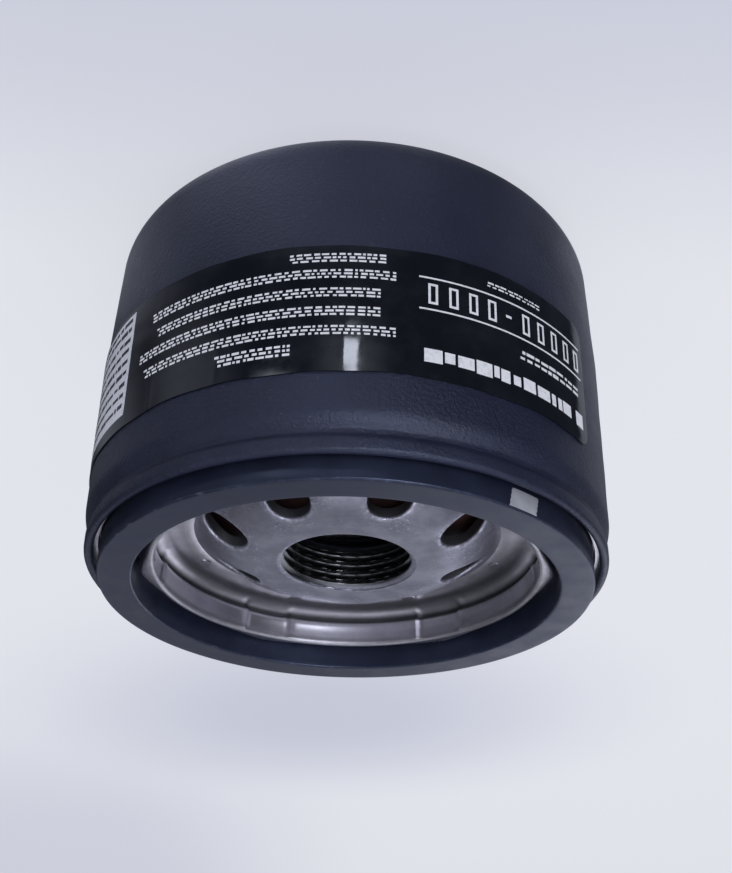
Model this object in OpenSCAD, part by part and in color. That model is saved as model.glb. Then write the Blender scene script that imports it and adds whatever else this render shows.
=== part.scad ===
// Spin-on oil filter for a small engine. The closed end of the can is at z = 0 and
// the open end with its thread and gasket faces +Z. All lengths are in millimetres.

/* [Can] */
// Height from the closed end to the gasket's sealing face
overall_h = 55; // [54:0.5:58]
// Outer radius of the straight part of the can
can_r = 37.5; // [37.5:0.1:38.5]
// Sheet thickness of the can
can_t = 0.4; // [0.3:0.05:0.4]
// Radius of the corner round the closed end
corner_r = 5.7; // [4:0.1:7]
// How much smaller in radius the can is at its closed end
can_taper = 0.6; // [0:0.1:0.8]

/* [Open end] */
// Radius of the bore, the minor radius of an M20 x 1.5 thread
bore_r = 9.188; // [9.188:0.001:9.3]
// Outer radius of the gasket
gasket_r = 35; // [34.8:0.1:35.1]
// Inner radius of the gasket
gasket_hole_r = 30.2; // [30:0.1:31]
// Number of inlet holes round the bore
inlet_count = 8; // [6:1:8]
// Radius of one inlet hole
inlet_r = 3.1; // [2.5:0.1:3.2]
// Angle of the first inlet hole about the axis
inlet_turn = 27; // [0:1:44]

/* [Label] */
// Lower edge of the label
label_low = 22.2; // [21.2:0.1:24]
// Upper edge of the label
label_high = 41.5; // [38:0.1:45]
// Angle that the label wraps round the can
label_wrap = 332; // [300:1:350]

/* [Element] */
// Outer radius of the end caps
cap_r = 33.2; // [32:0.1:34]
// Number of pleats in the paper
pleats = 50; // [40:1:54]
// Thickness of the paper
paper_t = 0.5; // [0.4:0.05:0.6]

/* [Bypass valve] */
// Number of coils in the bypass spring
spring_turns = 5; // [4:0.5:6]
// Radius of the bypass spring's wire
wire_r = 0.5; // [0.3:0.05:0.6]

/* [Hidden] */
$fn = 96;

gap = 0.02;                         // faces that only touch stand this far apart
seam_gap = 0.05;                    // between the folded sheets of the seam

// Levels of the open end, measured down from the gasket's face
crest_z = overall_h - 2.9;          // top of the lid's inner wall
hub_z = overall_h - 4.8;            // flat face round the bore
hub_flat_r = 12.5;
entry_drop = 1.0;                   // rounded entry above the bore's wall
floor_z = overall_h - 9.2;          // plate's low ring, on which the lid is welded
ledge_z = overall_h - 6.25;         // plate's outer ledge, which backs the gasket
plate_t = 2;
plate_r = 34.8;
plate_step_r = 28.9;
collar_t = 2;
collar_end_z = overall_h - 13.8;
dome_r = 11;                        // convex arc from the hub down to the slope
dome_angle = 40;                    // steepest slope of the plate
valley_r = 1.2;                     // concave arc from the slope to the low ring
inlet_ring_r = 18;

// Can's seam
bead_r = can_r - 0.4;
groove_r = can_r - 0.75;
bead_top_z = overall_h - 2.6;
groove_z = overall_h - 5.4;
shoulder_z = overall_h - 8.7;
bead_z = groove_z + 0.75;
hook_end_z = overall_h - 4.1;
taper_top_z = 21;
relief_r = 16;                      // raised middle of the closed end
relief_h = 0.8;

// Lid
lid_t = 0.4;
lid_hole_r = 22.2;
lid_groove_r = 28.4;                // where the hollow ends and the wall starts to lean inward
lid_hollow_r = 1.7;
crest_r = 27.93;                    // middle of the folded crest
crest_arc = 0.38;
channel_z = ledge_z + 0.25;         // middle of the sheet under the gasket
channel_in_r = 28.9;
channel_out_r = gasket_r + 0.45;
gasket_low_z = channel_z + lid_t / 2 + gap;

// Label
label_t = 0.15;
label_from = -148;

// Drain-back valve
collar_r = bore_r + collar_t;
valve_hub_r = 13.4;
valve_top_z = hub_z - plate_t - 1.3;
valve_lip_r = 24.8;
valve_t = 1.1;

// Element
cap_t = 0.4;
outlet_cap_z = valve_top_z - 6.4;   // upper face of the cap at the threaded end
closed_cap_z = 13.1;                // lower face of the cap at the closed end
cap_skirt = 3;
glue_t = 0.75;
tube_r = 13.4;
tube_t = 0.4;
tube_hole_r = 1.5;
tube_rows = 7;
tube_holes_round = 12;
paper_in_r = 14.2;
paper_out_r = 32.3;
paper_low_z = closed_cap_z + cap_t + glue_t;
paper_high_z = outlet_cap_z - cap_t - glue_t;
fin_r = 31;                         // joined ends of the paper stand out to here
clip_t = 0.22;
clip_in_r = 24.5;

// Bypass valve
seat_z = closed_cap_z + cap_t;
seat_t = 0.45;
seat_hole_r = 6.2;
seat_rim_r = 7.2;
seat_rim_z = seat_z + 0.9;
seal_t = 1;
poppet_r = 8.6;
stem_r = 1.7;
poppet_t = 0.6;
poppet_z = seat_rim_z + gap + seal_t;
cage_t = 0.4;
cage_flange_r = 12.8;
cage_wall_r = 11.4;
cage_top_z = 25.6;
stem_clearance = 0.05;
spring_mean_r = 4.5;

// Support spring
leaf_t = 0.5;
leaf_count = 4;
leaf_angle = 34;
leaf_hole_r = 9.5;

// Points along an arc about c
function arc(c, r, from, to, steps = 8) =
    [for (i = [0:steps]) c + r * [cos(from + (to - from) * i / steps), sin(from + (to - from) * i / steps)]];
// Points of a smooth step in radius, from r0 at z0 to r1 at z1
function ease(r0, z0, r1, z1, steps = 8) =
    [for (i = [0:steps]) [r1 + (r0 - r1) * (1 + cos(180 * i / steps)) / 2, z0 + (z1 - z0) * i / steps]];
function heading(a, b) = (b - a) / norm(b - a);
function leftward(d) = [-d[1], d[0]];
// Sideways step at a point of a path that keeps both neighbours' offset at one
function miter(path, i) =
    let (last = len(path) - 1,
        before = leftward(heading(path[max(i - 1, 0)], path[max(i, 1)])),
        after = leftward(heading(path[min(i, last - 1)], path[min(i + 1, last)])))
    (before + after) / (1 + before * after);
// Outline of a sheet of thickness t along a path
function sheet(path, t) = concat(
    [for (i = [0:len(path) - 1]) path[i] + miter(path, i) * t / 2],
    [for (i = [len(path) - 1:-1:0]) path[i] - miter(path, i) * t / 2]);

module lathe(outline, angle = 360) {
    rotate_extrude(angle = angle) polygon(outline);
}

module ring(r_in, r_out, z_low, z_high) {
    lathe([[r_in, z_low], [r_out, z_low], [r_out, z_high], [r_in, z_high]]);
}

// Round wire wound about the axis
module coil(mean_r, wire, z_low, z_high, turns, steps = 20, sides = 8) {
    count = ceil(turns * steps);
    points = [for (i = [0:count]) let (a = 360 * turns * i / count, z = z_low + (z_high - z_low) * i / count)
        for (j = [0:sides - 1]) let (b = 360 * j / sides, r = mean_r + wire * cos(b))
            [r * cos(a), r * sin(a), z + wire * sin(b)]];
    walls = [for (i = [0:count - 1]) for (j = [0:sides - 1])
        [i * sides + j, i * sides + (j + 1) % sides, (i + 1) * sides + (j + 1) % sides, (i + 1) * sides + j]];
    start = [for (j = [sides - 1:-1:0]) j];
    end = [for (j = [0:sides - 1]) count * sides + j];
    polyhedron(points, concat(walls, [start, end]), convexity = 6);
}

// Middle of the can's sheet, from the centre of the closed end to the seam's hook
shell_path = let (half = can_t / 2, foot_r = can_r - can_taper - corner_r) concat(
    [[0, relief_h + half], [relief_r - 2, relief_h + half]],
    [[relief_r, half]],
    arc([foot_r, corner_r], corner_r - half, -90, 0, 10),
    [[can_r - half, taper_top_z]],
    ease(can_r - half, shoulder_z, groove_r - half, groove_z),
    ease(groove_r - half, groove_z, bead_r - half, bead_z, 4),
    arc([bead_r - half - 0.45, bead_top_z - half - 0.45], 0.45, 0, 180, 8),
    [[bead_r - half - 0.9, hook_end_z]]);

module shell() {
    color([0.11, 0.12, 0.16])
    lathe(sheet([for (i = [0:len(shell_path) - 1])
        if (i == 0 || norm(shell_path[i] - shell_path[max(i - 1, 0)]) > 0.001) shell_path[i]], can_t));
}

module label() {
    color([0.03, 0.03, 0.04])
    rotate(label_from)
    lathe([[can_r, label_low], [can_r + label_t, label_low],
        [can_r + label_t, label_high], [can_r, label_high]], label_wrap);
}

// Upper face of the plate's dished part, from the hub down to the low ring
plate_top = concat(
    arc([bore_r + entry_drop, hub_z - entry_drop], entry_drop, 180, 90, 5),
    arc([hub_flat_r, hub_z - dome_r], dome_r, 90, 90 - dome_angle, 10),
    arc([valley_mid_r(), floor_z + valley_r], valley_r, 270 - dome_angle, 270, 6));
plate_under = concat(
    arc([hub_flat_r, hub_z - dome_r], dome_r - plate_t, 90, 90 - dome_angle, 10),
    arc([valley_mid_r(), floor_z + valley_r], valley_r + plate_t, 270 - dome_angle, 270, 6));
// Radius at which the slope has run out into the low ring
function valley_mid_r() =
    let (slope_end = hub_flat_r + dome_r * sin(dome_angle),
        slope_end_z = hub_z - dome_r * (1 - cos(dome_angle)),
        valley_start_z = floor_z + valley_r * (1 - cos(dome_angle)))
    slope_end + (slope_end_z - valley_start_z) / tan(dome_angle) + valley_r * sin(dome_angle);

module base_plate() {
    step_in_r = plate_step_r + plate_t;
    under = [for (i = [len(plate_under) - 1:-1:0]) plate_under[i]];
    outline = concat(
        plate_top,
        [[plate_step_r, floor_z], [plate_step_r, ledge_z], [plate_r, ledge_z],
            [plate_r, ledge_z - plate_t], [step_in_r, ledge_z - plate_t], [step_in_r, floor_z - plate_t]],
        under,
        [[collar_r, hub_z - plate_t], [collar_r, collar_end_z], [bore_r, collar_end_z]]);
    color([0.58, 0.58, 0.63])
    difference() {
        lathe(outline);
        for (k = [0:inlet_count - 1])
            rotate(inlet_turn + k * 360 / inlet_count)
            translate([inlet_ring_r, 0, floor_z - 2 * plate_t])
            cylinder(r = inlet_r, h = hub_z - floor_z + 3 * plate_t);
    }
}

// Middle of the lid's sheet: weld flange, hollow, leaning inner wall, narrow crest, gasket channel and seam hook
lid_path = let (half = lid_t / 2, flange_z = floor_z + half, hook_r = bead_r - can_t - seam_gap - half) concat(
    [[lid_hole_r, flange_z]],
    arc([lid_groove_r - lid_hollow_r, flange_z + lid_hollow_r], lid_hollow_r, -90, -6, 6),
    [[lid_groove_r, floor_z + 2.0], [lid_groove_r - 0.25, floor_z + 2.3]],
    arc([crest_r, crest_z - half - crest_arc], crest_arc, 180, 0, 8),
    arc([channel_in_r + 0.3, channel_z + 0.3], 0.3, 180, 270, 3),
    arc([channel_out_r - 0.3, channel_z + 0.3], 0.3, -90, 0, 3),
    [[channel_out_r, hook_end_z - seam_gap - half], [hook_r, hook_end_z - seam_gap - half],
        [hook_r, bead_top_z - 0.7]]);

module seaming_lid() {
    color([0.66, 0.66, 0.70])
    lathe(sheet([for (i = [0:len(lid_path) - 1])
        if (i == 0 || norm(lid_path[i] - lid_path[max(i - 1, 0)]) > 0.001) lid_path[i]], lid_t));
}

module seam_sealant() {
    mid = [bead_r - can_t / 2 - 0.45, bead_top_z - can_t / 2 - 0.45];
    color([0.75, 0.72, 0.60])
    lathe(arc(mid, 0.24, 0, 180, 8));
}

module gasket() {
    edge = 0.25;
    color([0.16, 0.18, 0.21])
    lathe(concat(
        [[gasket_hole_r, gasket_low_z], [gasket_r, gasket_low_z]],
        arc([gasket_r - edge, overall_h - edge], edge, 0, 90, 4),
        arc([gasket_hole_r + edge, overall_h - edge], edge, 90, 180, 4)));
}

module anti_drainback_valve() {
    hub_in_r = collar_r + gap;
    seal_z = floor_z - plate_t - gap;
    color([0.42, 0.27, 0.25])
    lathe(concat(
        [[hub_in_r, outlet_cap_z + gap], [valve_hub_r, outlet_cap_z + gap],
            [valve_hub_r, valve_top_z - 2.2]],
        [[16.5, valve_top_z - 2.9], [20.3, seal_z - valve_t - 0.9], [23.4, seal_z - valve_t - 0.6]],
        arc([valve_lip_r - 0.5, seal_z - 0.5], 0.5, -60, 90, 5),
        [[23.2, seal_z - 0.7], [20.6, seal_z - 0.75], [16.9, valve_top_z - 1.7],
            [valve_hub_r, valve_top_z - 0.6], [valve_hub_r - 0.6, valve_top_z], [hub_in_r, valve_top_z]]));
}

module outlet_end_cap() {
    half = cap_t / 2;
    color([0.72, 0.72, 0.70])
    lathe(sheet([[10.6, outlet_cap_z - cap_skirt], [10.6, outlet_cap_z - half],
        [cap_r - half, outlet_cap_z - half], [cap_r - half, outlet_cap_z - cap_skirt]], cap_t));
}

module closed_end_cap() {
    half = cap_t / 2;
    color([0.72, 0.72, 0.70])
    lathe(sheet([[seat_hole_r + 1.6, closed_cap_z + half], [cap_r - half, closed_cap_z + half],
        [cap_r - half, closed_cap_z + cap_skirt]], cap_t));
}

module center_tube() {
    low = closed_cap_z + cap_t;
    high = outlet_cap_z - cap_t;
    pitch = (high - low) / (tube_rows + 1);
    color([0.70, 0.71, 0.72])
    difference() {
        ring(tube_r - tube_t, tube_r, low, high);
        for (row = [1:tube_rows])
            for (k = [0:tube_holes_round - 1])
                rotate((k + row % 2 / 2) * 360 / tube_holes_round)
                translate([tube_r, 0, low + row * pitch])
                rotate([0, 90, 0])
                cylinder(r = tube_hole_r, h = 4, center = true);
    }
}

function spot(r, a) = [r * cos(a), r * sin(a)];

module pleated_media() {
    pitch = 360 / pleats;
    out_a = paper_t / paper_out_r * 180 / PI;
    in_a = paper_t / paper_in_r * 180 / PI;
    // Outer folds stand at half a pitch, so that a valley faces the joined ends at angle 0
    outside = [for (k = [0:pleats - 1]) let (a = (k + 0.5) * pitch)
        for (p = [[paper_in_r + paper_t, a - pitch / 2], [paper_out_r, a - out_a], [paper_out_r, a + out_a]])
            spot(p[0], p[1])];
    inside = [for (k = [0:pleats - 1]) let (a = (k + 0.5) * pitch)
        for (p = [[paper_in_r, a - pitch / 2 + in_a], [paper_out_r - paper_t, a], [paper_in_r, a + pitch / 2 - in_a]])
            spot(p[0], p[1])];
    color([0.86, 0.76, 0.52])
    translate([0, 0, paper_low_z])
    linear_extrude(paper_high_z - paper_low_z)
    union() {
        difference() {
            polygon(outside);
            polygon(inside);
        }
        translate([paper_in_r + paper_t / 2, -paper_t / 2])
        square([fin_r - paper_in_r - paper_t / 2, paper_t]);
    }
}

module glue(z_low) {
    color([0.90, 0.88, 0.80])
    ring(tube_r + gap, cap_r - cap_t - gap, z_low, z_low + glue_t);
}

module outlet_adhesive() {
    glue(outlet_cap_z - cap_t - glue_t);
}

module closed_adhesive() {
    glue(closed_cap_z + cap_t);
}

module media_seam_clip() {
    inner = paper_t / 2 + gap;
    outer = inner + clip_t;
    color([0.74, 0.74, 0.75])
    translate([0, 0, paper_low_z + 0.3])
    linear_extrude(paper_high_z - paper_low_z - 0.6)
    difference() {
        translate([clip_in_r, -outer]) square([fin_r + clip_t + gap - clip_in_r, 2 * outer]);
        translate([clip_in_r - 1, -inner]) square([fin_r + gap - clip_in_r + 1, 2 * inner]);
    }
}

module bypass_valve_seat() {
    color([0.68, 0.68, 0.66])
    lathe([[seat_hole_r, seat_z], [cage_flange_r, seat_z], [cage_flange_r, seat_z + seat_t],
        [seat_rim_r + 0.5, seat_z + seat_t], [seat_rim_r, seat_rim_z],
        [seat_hole_r + 0.3, seat_rim_z], [seat_hole_r, seat_rim_z - 0.3]]);
}

module bypass_poppet() {
    top = poppet_z + gap + poppet_t;
    stem_top = cage_top_z + 2;
    color([0.60, 0.60, 0.62])
    lathe([[0, seat_z + 0.1], [2.7, seat_z + 0.1], [3, seat_rim_z], [stem_r, seat_rim_z],
        [stem_r, poppet_z + gap], [poppet_r, poppet_z + gap], [poppet_r, top],
        [2.6, top], [stem_r, top + 0.9], [stem_r, stem_top - 0.4], [stem_r - 0.4, stem_top], [0, stem_top]]);
}

module bypass_poppet_seal() {
    color([0.10, 0.10, 0.11])
    ring(stem_r + gap, poppet_r - 0.2, seat_rim_z + gap, poppet_z);
}

module bypass_spring() {
    low = poppet_z + gap + poppet_t + wire_r + gap;
    high = cage_top_z - cage_t - wire_r - gap;
    color([0.62, 0.64, 0.68])
    coil(spring_mean_r, wire_r, low, high, spring_turns);
}

module bypass_cage() {
    half = cage_t / 2;
    window_z = seat_z + seat_t + cage_t + 1;
    color([0.66, 0.66, 0.64])
    difference() {
        lathe(sheet([[cage_flange_r, seat_z + seat_t + half], [cage_wall_r, seat_z + seat_t + half],
            [cage_wall_r, cage_top_z - half], [stem_r + stem_clearance, cage_top_z - half]], cage_t));
        for (k = [0:1])
            rotate(k * 90)
            translate([0, 0, (window_z + cage_top_z - 2) / 2])
            cube([2 * cage_flange_r, 9, cage_top_z - 2 - window_z], center = true);
    }
}

module support_spring() {
    top = closed_cap_z - leaf_t / 2;
    foot = can_t + leaf_t / 2 + gap;
    color([0.52, 0.53, 0.56])
    union() {
        ring(leaf_hole_r, 16, closed_cap_z - leaf_t, closed_cap_z);
        for (k = [0:leaf_count - 1])
            rotate(k * 360 / leaf_count - leaf_angle / 2)
            lathe(sheet([[15, top], [17, top], [25.6, foot + 1], [27.2, foot], [28.4, foot + 0.5]], leaf_t),
                leaf_angle);
    }
}

shell();
label();
base_plate();
seaming_lid();
seam_sealant();
gasket();
anti_drainback_valve();
outlet_end_cap();
closed_end_cap();
center_tube();
pleated_media();
outlet_adhesive();
closed_adhesive();
media_seam_clip();
bypass_valve_seat();
bypass_poppet();
bypass_poppet_seal();
bypass_spring();
bypass_cage();
support_spring();
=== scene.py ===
"""Looks of a spin-on oil filter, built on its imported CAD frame.

The closed end stands on the floor at z = 0, and the open end with its thread and gasket faces +Z.
Shapes are worked out in millimetres and degrees, and turned into metres when their mesh is made.
"""

import math

import bmesh
import bpy
import numpy as np
from mathutils import Matrix, Vector


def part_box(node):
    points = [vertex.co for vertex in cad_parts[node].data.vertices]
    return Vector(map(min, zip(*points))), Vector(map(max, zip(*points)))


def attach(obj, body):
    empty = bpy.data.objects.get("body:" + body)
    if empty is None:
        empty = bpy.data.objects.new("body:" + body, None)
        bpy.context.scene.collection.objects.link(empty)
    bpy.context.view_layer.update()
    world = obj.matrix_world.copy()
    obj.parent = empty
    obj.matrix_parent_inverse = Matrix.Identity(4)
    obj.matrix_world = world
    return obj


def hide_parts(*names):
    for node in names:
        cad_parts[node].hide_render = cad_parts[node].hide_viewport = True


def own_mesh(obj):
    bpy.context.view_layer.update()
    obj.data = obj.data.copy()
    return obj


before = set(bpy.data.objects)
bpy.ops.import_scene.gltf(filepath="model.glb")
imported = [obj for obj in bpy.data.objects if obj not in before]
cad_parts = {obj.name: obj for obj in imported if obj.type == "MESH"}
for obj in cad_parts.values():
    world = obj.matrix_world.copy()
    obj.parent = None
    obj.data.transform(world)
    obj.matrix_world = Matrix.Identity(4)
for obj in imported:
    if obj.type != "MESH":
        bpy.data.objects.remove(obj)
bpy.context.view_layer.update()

MM = 0.001
TURNS = 384  # steps round the axis


def levels(node):
    """Lowest and highest level of a CAD node, in millimetres."""
    low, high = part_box(node)
    return low[2] / MM, high[2] / MM


def outer_radius(node):
    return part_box(node)[1][0] / MM


# Driving dimensions, read from the frame where a node's box gives them
GASKET_LOW, TOP = levels("gasket")
CAN_R = outer_radius("seaming_lid") + 0.85  # the lid's hook lies this far inside the can's wall
GASKET_R = outer_radius("gasket")
PLATE_R = outer_radius("base_plate")
COLLAR_END = levels("base_plate")[0]
LABEL_LOW, LABEL_HIGH = levels("label")
VALVE_LOW, VALVE_HIGH = levels("anti_drainback_valve")
CAP_R = outer_radius("outlet_end_cap")
OUTLET_CAP = levels("outlet_end_cap")[1]
CLOSED_CAP = levels("closed_end_cap")[0]
SPRING_LOW, SPRING_HIGH = levels("bypass_spring")
POPPET_TOP = levels("bypass_poppet")[1]
SEAL_LOW, SEAL_HIGH = levels("bypass_poppet_seal")

# Open end: levels lie below the gasket's face, and radii are from the axis
SHEET_T = 0.4  # sheet of the can, the lid and the element's caps
BORE_R = 9.188
THREAD_R = 10.0
PITCH = 1.5
ENTRY = 1.0  # radius of the bore's rounded entry
COLLAR_R = BORE_R + 2
HUB_Z = TOP - 4.8
HUB_FLAT_R = 12.5
FLOOR_Z = TOP - 9.2
LEDGE_Z = TOP - 6.25
CREST_Z = TOP - 2.9
PLATE_T = 2.0
PLATE_STEP_R = 28.9
DOME_R = 11.0
DOME_ANGLE = 40.0
VALLEY_R = 1.2
INLETS = 8
INLET_R = 3.1
INLET_TURN = 27.0  # angle of the first inlet
INLET_RING_R = 18.0
LID_HOLE_R = 22.2
LID_GROOVE_R = 28.4
CREST_R = 27.93
BUMPS = 6
BUMP_TURN = 3.0  # angle of the first pressed place in the lid
BUMP_WIDTH = 14.5

# Seam of the can
BEAD_R = CAN_R - 0.4
BEAD_TOP = TOP - 2.6
GROOVE_Z = TOP - 5.4
SHOULDER_Z = TOP - 8.7
HOOK_END = TOP - 4.1

# Label
LABEL_START, LABEL_WRAP = -148.0, 332.0
FILM_T = 0.12


# --- Outlines: lists of (radius, height) points ---

def arc(centre, radius, start, end, steps=10):
    """Points round a centre from one angle to another."""
    angles = np.radians(np.linspace(start, end, steps + 1))
    return [(centre[0] + radius * math.cos(a), centre[1] + radius * math.sin(a)) for a in angles]


def ease(start, end, steps=12):
    """A smooth step in radius between two points."""
    (r0, z0), (r1, z1) = start, end
    shares = np.linspace(0, 1, steps + 1)
    swing = (1 - np.cos(np.pi * shares)) / 2
    return [(r0 + (r1 - r0) * s, z0 + (z1 - z0) * t) for s, t in zip(swing, shares)]


def tidy(path):
    """The path without points that repeat."""
    kept = [path[0]]
    for point in path[1:]:
        if math.dist(point, kept[-1]) > 1e-3:
            kept.append(point)
    return kept


def split(path, longest=1.2):
    """The path with its long stretches cut, so that they can be bent."""
    points = [path[0]]
    for (r0, z0), (r1, z1) in zip(path, path[1:]):
        count = max(1, math.ceil(math.dist((r0, z0), (r1, z1)) / longest))
        points += [(r0 + (r1 - r0) * i / count, z0 + (z1 - z0) * i / count) for i in range(1, count + 1)]
    return points


def sideways(p, closed=False):
    """Steps that move each point of a path to its left by 1, and each stretch's direction and left."""
    d = np.roll(p, -1, 0) - p if closed else np.diff(p, axis=0)
    d /= np.linalg.norm(d, axis=1)[:, None]
    n = np.stack([-d[:, 1], d[:, 0]], 1)
    before, after = (np.roll(n, 1, 0), n) if closed else (np.vstack([n[:1], n]), np.vstack([n, n[-1:]]))
    return (before + after) / (1 + (before * after).sum(1))[:, None], d, n


def sheet(path, thickness, from_axis=False, longest=1.2):
    """Outline of a sheet along a path, with rounded edges. from_axis leaves its start open on the axis."""
    p = np.array(split(tidy(path), longest))
    steps, d, n = sideways(p)
    offset = steps * thickness / 2
    turn = np.radians(np.arange(30, 180, 30))[:, None]
    end = p[-1] + thickness / 2 * (np.cos(turn) * n[-1] + np.sin(turn) * d[-1])
    start = p[0] - thickness / 2 * (np.cos(turn) * n[0] + np.sin(turn) * d[0])
    parts = [p + offset, end, (p - offset)[::-1]] + ([] if from_axis else [start])
    return np.vstack(parts)


# --- Meshes ---

def quads(rows, columns, wrap_rows=False, wrap_columns=True):
    """Faces of a grid of points, whose normals point along column direction x row direction."""
    i = np.arange(rows if wrap_rows else rows - 1)[:, None]
    j = np.arange(columns if wrap_columns else columns - 1)[None, :]
    down, right = (i + 1) % rows, (j + 1) % columns
    corners = [i * columns + j, i * columns + right, down * columns + right, down * columns + j]
    return np.stack(np.broadcast_arrays(*corners), -1).reshape(-1, 4)


def placed(name, data):
    """A new object in the scene."""
    obj = bpy.data.objects.new(name, data)
    bpy.context.scene.collection.objects.link(obj)
    return obj


def piece(name, grid, surface, body="canister", weld=True, crease=38):
    """An object from a grid of points in millimetres, faces and edge wear from 0 to 1.

    It stands for the CAD node of its name, if there is one.
    """
    points, faces, edge = grid
    stands_for = [name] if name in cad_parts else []
    mesh = bpy.data.meshes.new(name)
    mesh.from_pydata((np.asarray(points).reshape(-1, 3) * MM).tolist(), [], np.asarray(faces).tolist())
    worn = mesh.attributes.new("edge", "FLOAT", "POINT")
    worn.data.foreach_set("value", np.asarray(edge, float).ravel())
    if weld:
        bm = bmesh.new()
        bm.from_mesh(mesh)
        bmesh.ops.remove_doubles(bm, verts=bm.verts, dist=2e-4 * MM)
        bmesh.ops.dissolve_degenerate(bm, edges=bm.edges, dist=1e-4 * MM)
        bm.to_mesh(mesh)
        bm.free()
    mesh.validate()
    mesh.shade_smooth()
    mesh.set_sharp_from_angle(angle=math.radians(crease))
    mesh.materials.append(surface.material)
    obj = placed(name, mesh)
    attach(obj, body)
    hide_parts(*stands_for)
    return obj


def curving(outline, closed):
    """How sharply each point of an outline turns: 0 on flats, 1 on edges of about half a millimetre."""
    p = np.asarray(outline, float)
    before, after = np.roll(p, 1, 0), np.roll(p, -1, 0)
    if not closed:
        before[0], after[-1] = p[0] * 2 - p[1], p[-1] * 2 - p[-2]
    a, b = p - before, after - p
    turn = np.arctan2(a[:, 0] * b[:, 1] - a[:, 1] * b[:, 0], (a * b).sum(1))
    length = (np.linalg.norm(a, axis=1) + np.linalg.norm(b, axis=1)) / 2
    return np.clip(turn / np.maximum(length, 0.05) / 3, 0, 1)


def lathe(outline, closed=True, turns=TURNS, start=0.0, shape=None):
    """Points, faces and edge wear of an outline turned about the axis. shape(angle, r, z) bends it."""
    rz = np.asarray(outline, float)
    area = (rz[:, 0] * np.roll(rz[:, 1], -1) - np.roll(rz[:, 0], -1) * rz[:, 1]).sum()
    if closed and area < 0:
        rz = rz[::-1]
    angle = np.radians(start + np.arange(turns) * 360 / turns)[None, :]
    r, z = np.repeat(rz[:, :1], turns, 1), np.repeat(rz[:, 1:], turns, 1)
    if shape:
        r, z = shape(angle, r, z)
    points = np.stack([r * np.cos(angle), r * np.sin(angle), z], -1)
    edge = np.repeat(curving(rz, closed)[:, None], turns, 1)
    return points, quads(len(rz), turns, wrap_rows=closed), edge


def turned(name, outline, surface, body="canister", turns=TURNS, shape=None, **how):
    """An object from an outline turned about the axis."""
    on_axis = np.asarray(outline)[:, 0].min() < 1e-6
    return piece(name, lathe(outline, turns=turns, shape=shape), surface, body, weld=on_axis, **how)


def joined(*grids):
    """Several (points, faces, edge) grids as one."""
    points, faces, edges, count = [], [], [], 0
    for p, f, e in grids:
        points.append(np.asarray(p).reshape(-1, 3))
        faces.append(np.asarray(f) + count)
        edges.append(np.asarray(e).ravel())
        count += len(points[-1])
    return np.vstack(points), np.vstack(faces), np.concatenate(edges)


def waves(angle, height, seed, size=1.0):
    """Smooth unevenness about the axis, mostly between -1 and 1."""
    rng = np.random.default_rng(seed)
    total = np.zeros(np.broadcast(angle, height).shape)
    for k in range(7):
        round_count, tall = rng.integers(2, 14), rng.uniform(0.02, 0.22) / size
        total += np.sin(round_count * angle + tall * height * 6.28 + rng.uniform(0, 6.28)) / (1 + k * 0.4)
    return total / 2.5


def window(angle, middle, width, soft):
    """1 within an angle's width of the middle and 0 outside, in degrees, with soft sides."""
    off = np.abs((np.degrees(angle) - middle + 180) % 360 - 180)
    share = np.clip((width / 2 + soft / 2 - off) / soft, 0, 1)
    return share * share * (3 - 2 * share)


# --- Materials ---

def scaled(values, share):
    return tuple(value * share for value in values)


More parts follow.
